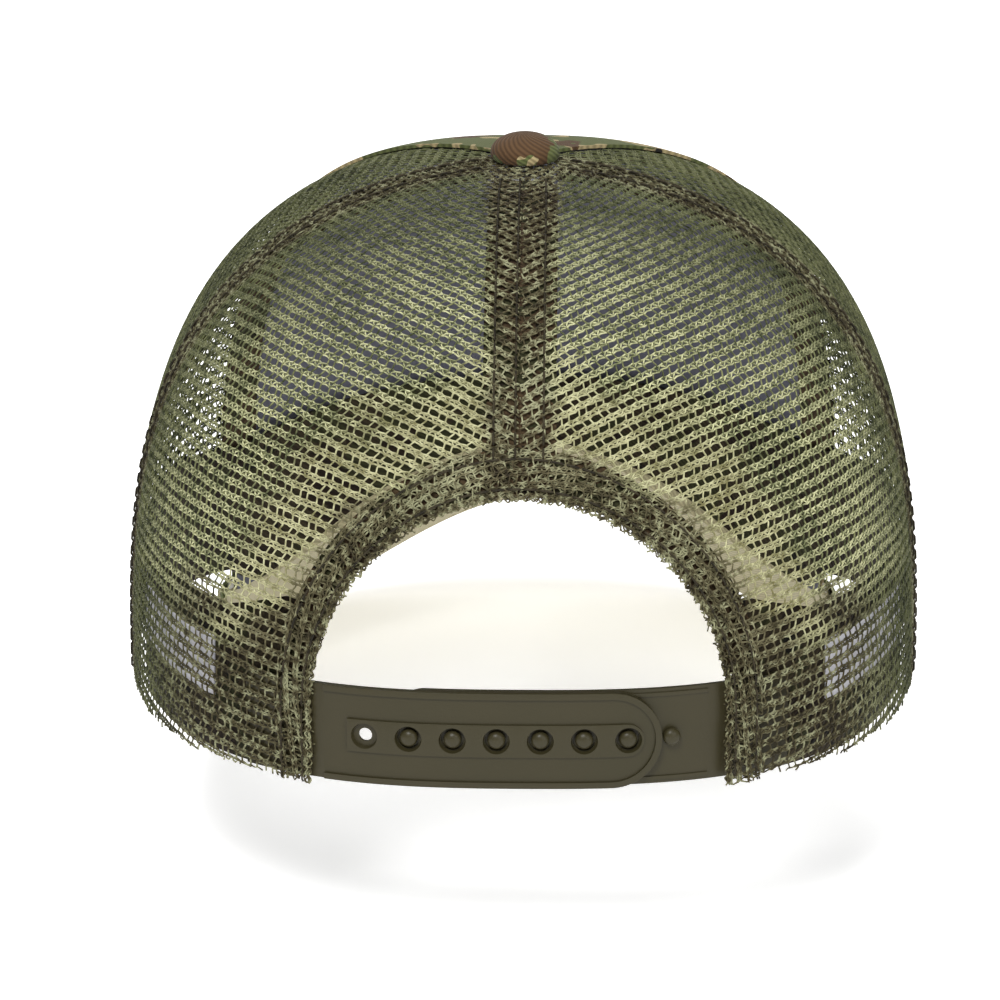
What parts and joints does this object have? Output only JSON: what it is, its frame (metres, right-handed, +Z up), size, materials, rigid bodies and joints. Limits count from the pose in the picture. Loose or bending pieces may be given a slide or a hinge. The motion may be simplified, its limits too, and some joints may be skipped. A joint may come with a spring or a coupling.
{
  "type": "trucker cap",
  "caption": "Trucker cap with a cloth front, mesh sides and back, curved visor, top button and a snap strap closure across the rear arch.",
  "frame": {"origin": "middle of the head opening, level with the lower edge of the snap straps", "axes": "the wearer faces -Y, the wearer's left hand is at +X, +Z is up through the button"},
  "size_m": [0.173, 0.2645, 0.1573],
  "materials": {
    "camo_cloth": "cotton twill with a camouflage print in tan, green, brown and black",
    "tan_cloth": "plain tan twill",
    "lining": "grey-white stiffened non-woven cloth",
    "mesh": "open knitted polyester net, khaki and olive",
    "tape": "folded cloth tape in brown",
    "board": "flexible polyethylene sheet",
    "strap_plastic": "moulded olive drab plastic, satin",
    "button_metal": "plain pressed steel"
  },
  "bodies": {
    "cap": {"front_panel": "camo_cloth", "front_buckram": "lining", "side_mesh_left": "mesh", "side_mesh_right": "mesh", "back_mesh_left": "mesh", "back_mesh_right": "mesh", "seam_tape_center_back": "tape", "seam_tape_back_left": "tape", "seam_tape_front_left": "tape", "seam_tape_back_right": "tape", "seam_tape_front_right": "tape", "arch_binding": "tape", "sweatband": "camo_cloth", "sweatband_interlining": "lining", "visor_board": "board", "visor_top_cover": "camo_cloth", "visor_under_cover": "tan_cloth", "button_cover": "camo_cloth", "button_core": "button_metal", "button_prong": "button_metal", "strap_female_root": "strap_plastic", "strap_male_root": "strap_plastic"},
    "outer_strap": {"strap_female": "strap_plastic"},
    "inner_strap": {"strap_male": "strap_plastic"}
  },
  "joints": [
    {"name": "outer_strap_swing", "type": "hinge", "parent": "cap", "child": "outer_strap", "pos_m": [0.0391, 0.093, 0.0103], "axis": [0, 0, -1], "range_deg": [0, 70]},
    {"name": "inner_strap_swing", "type": "hinge", "parent": "cap", "child": "inner_strap", "pos_m": [-0.0391, 0.0905, 0.0103], "axis": [0, 0, -1], "range_deg": [0, 30]}
  ]
}
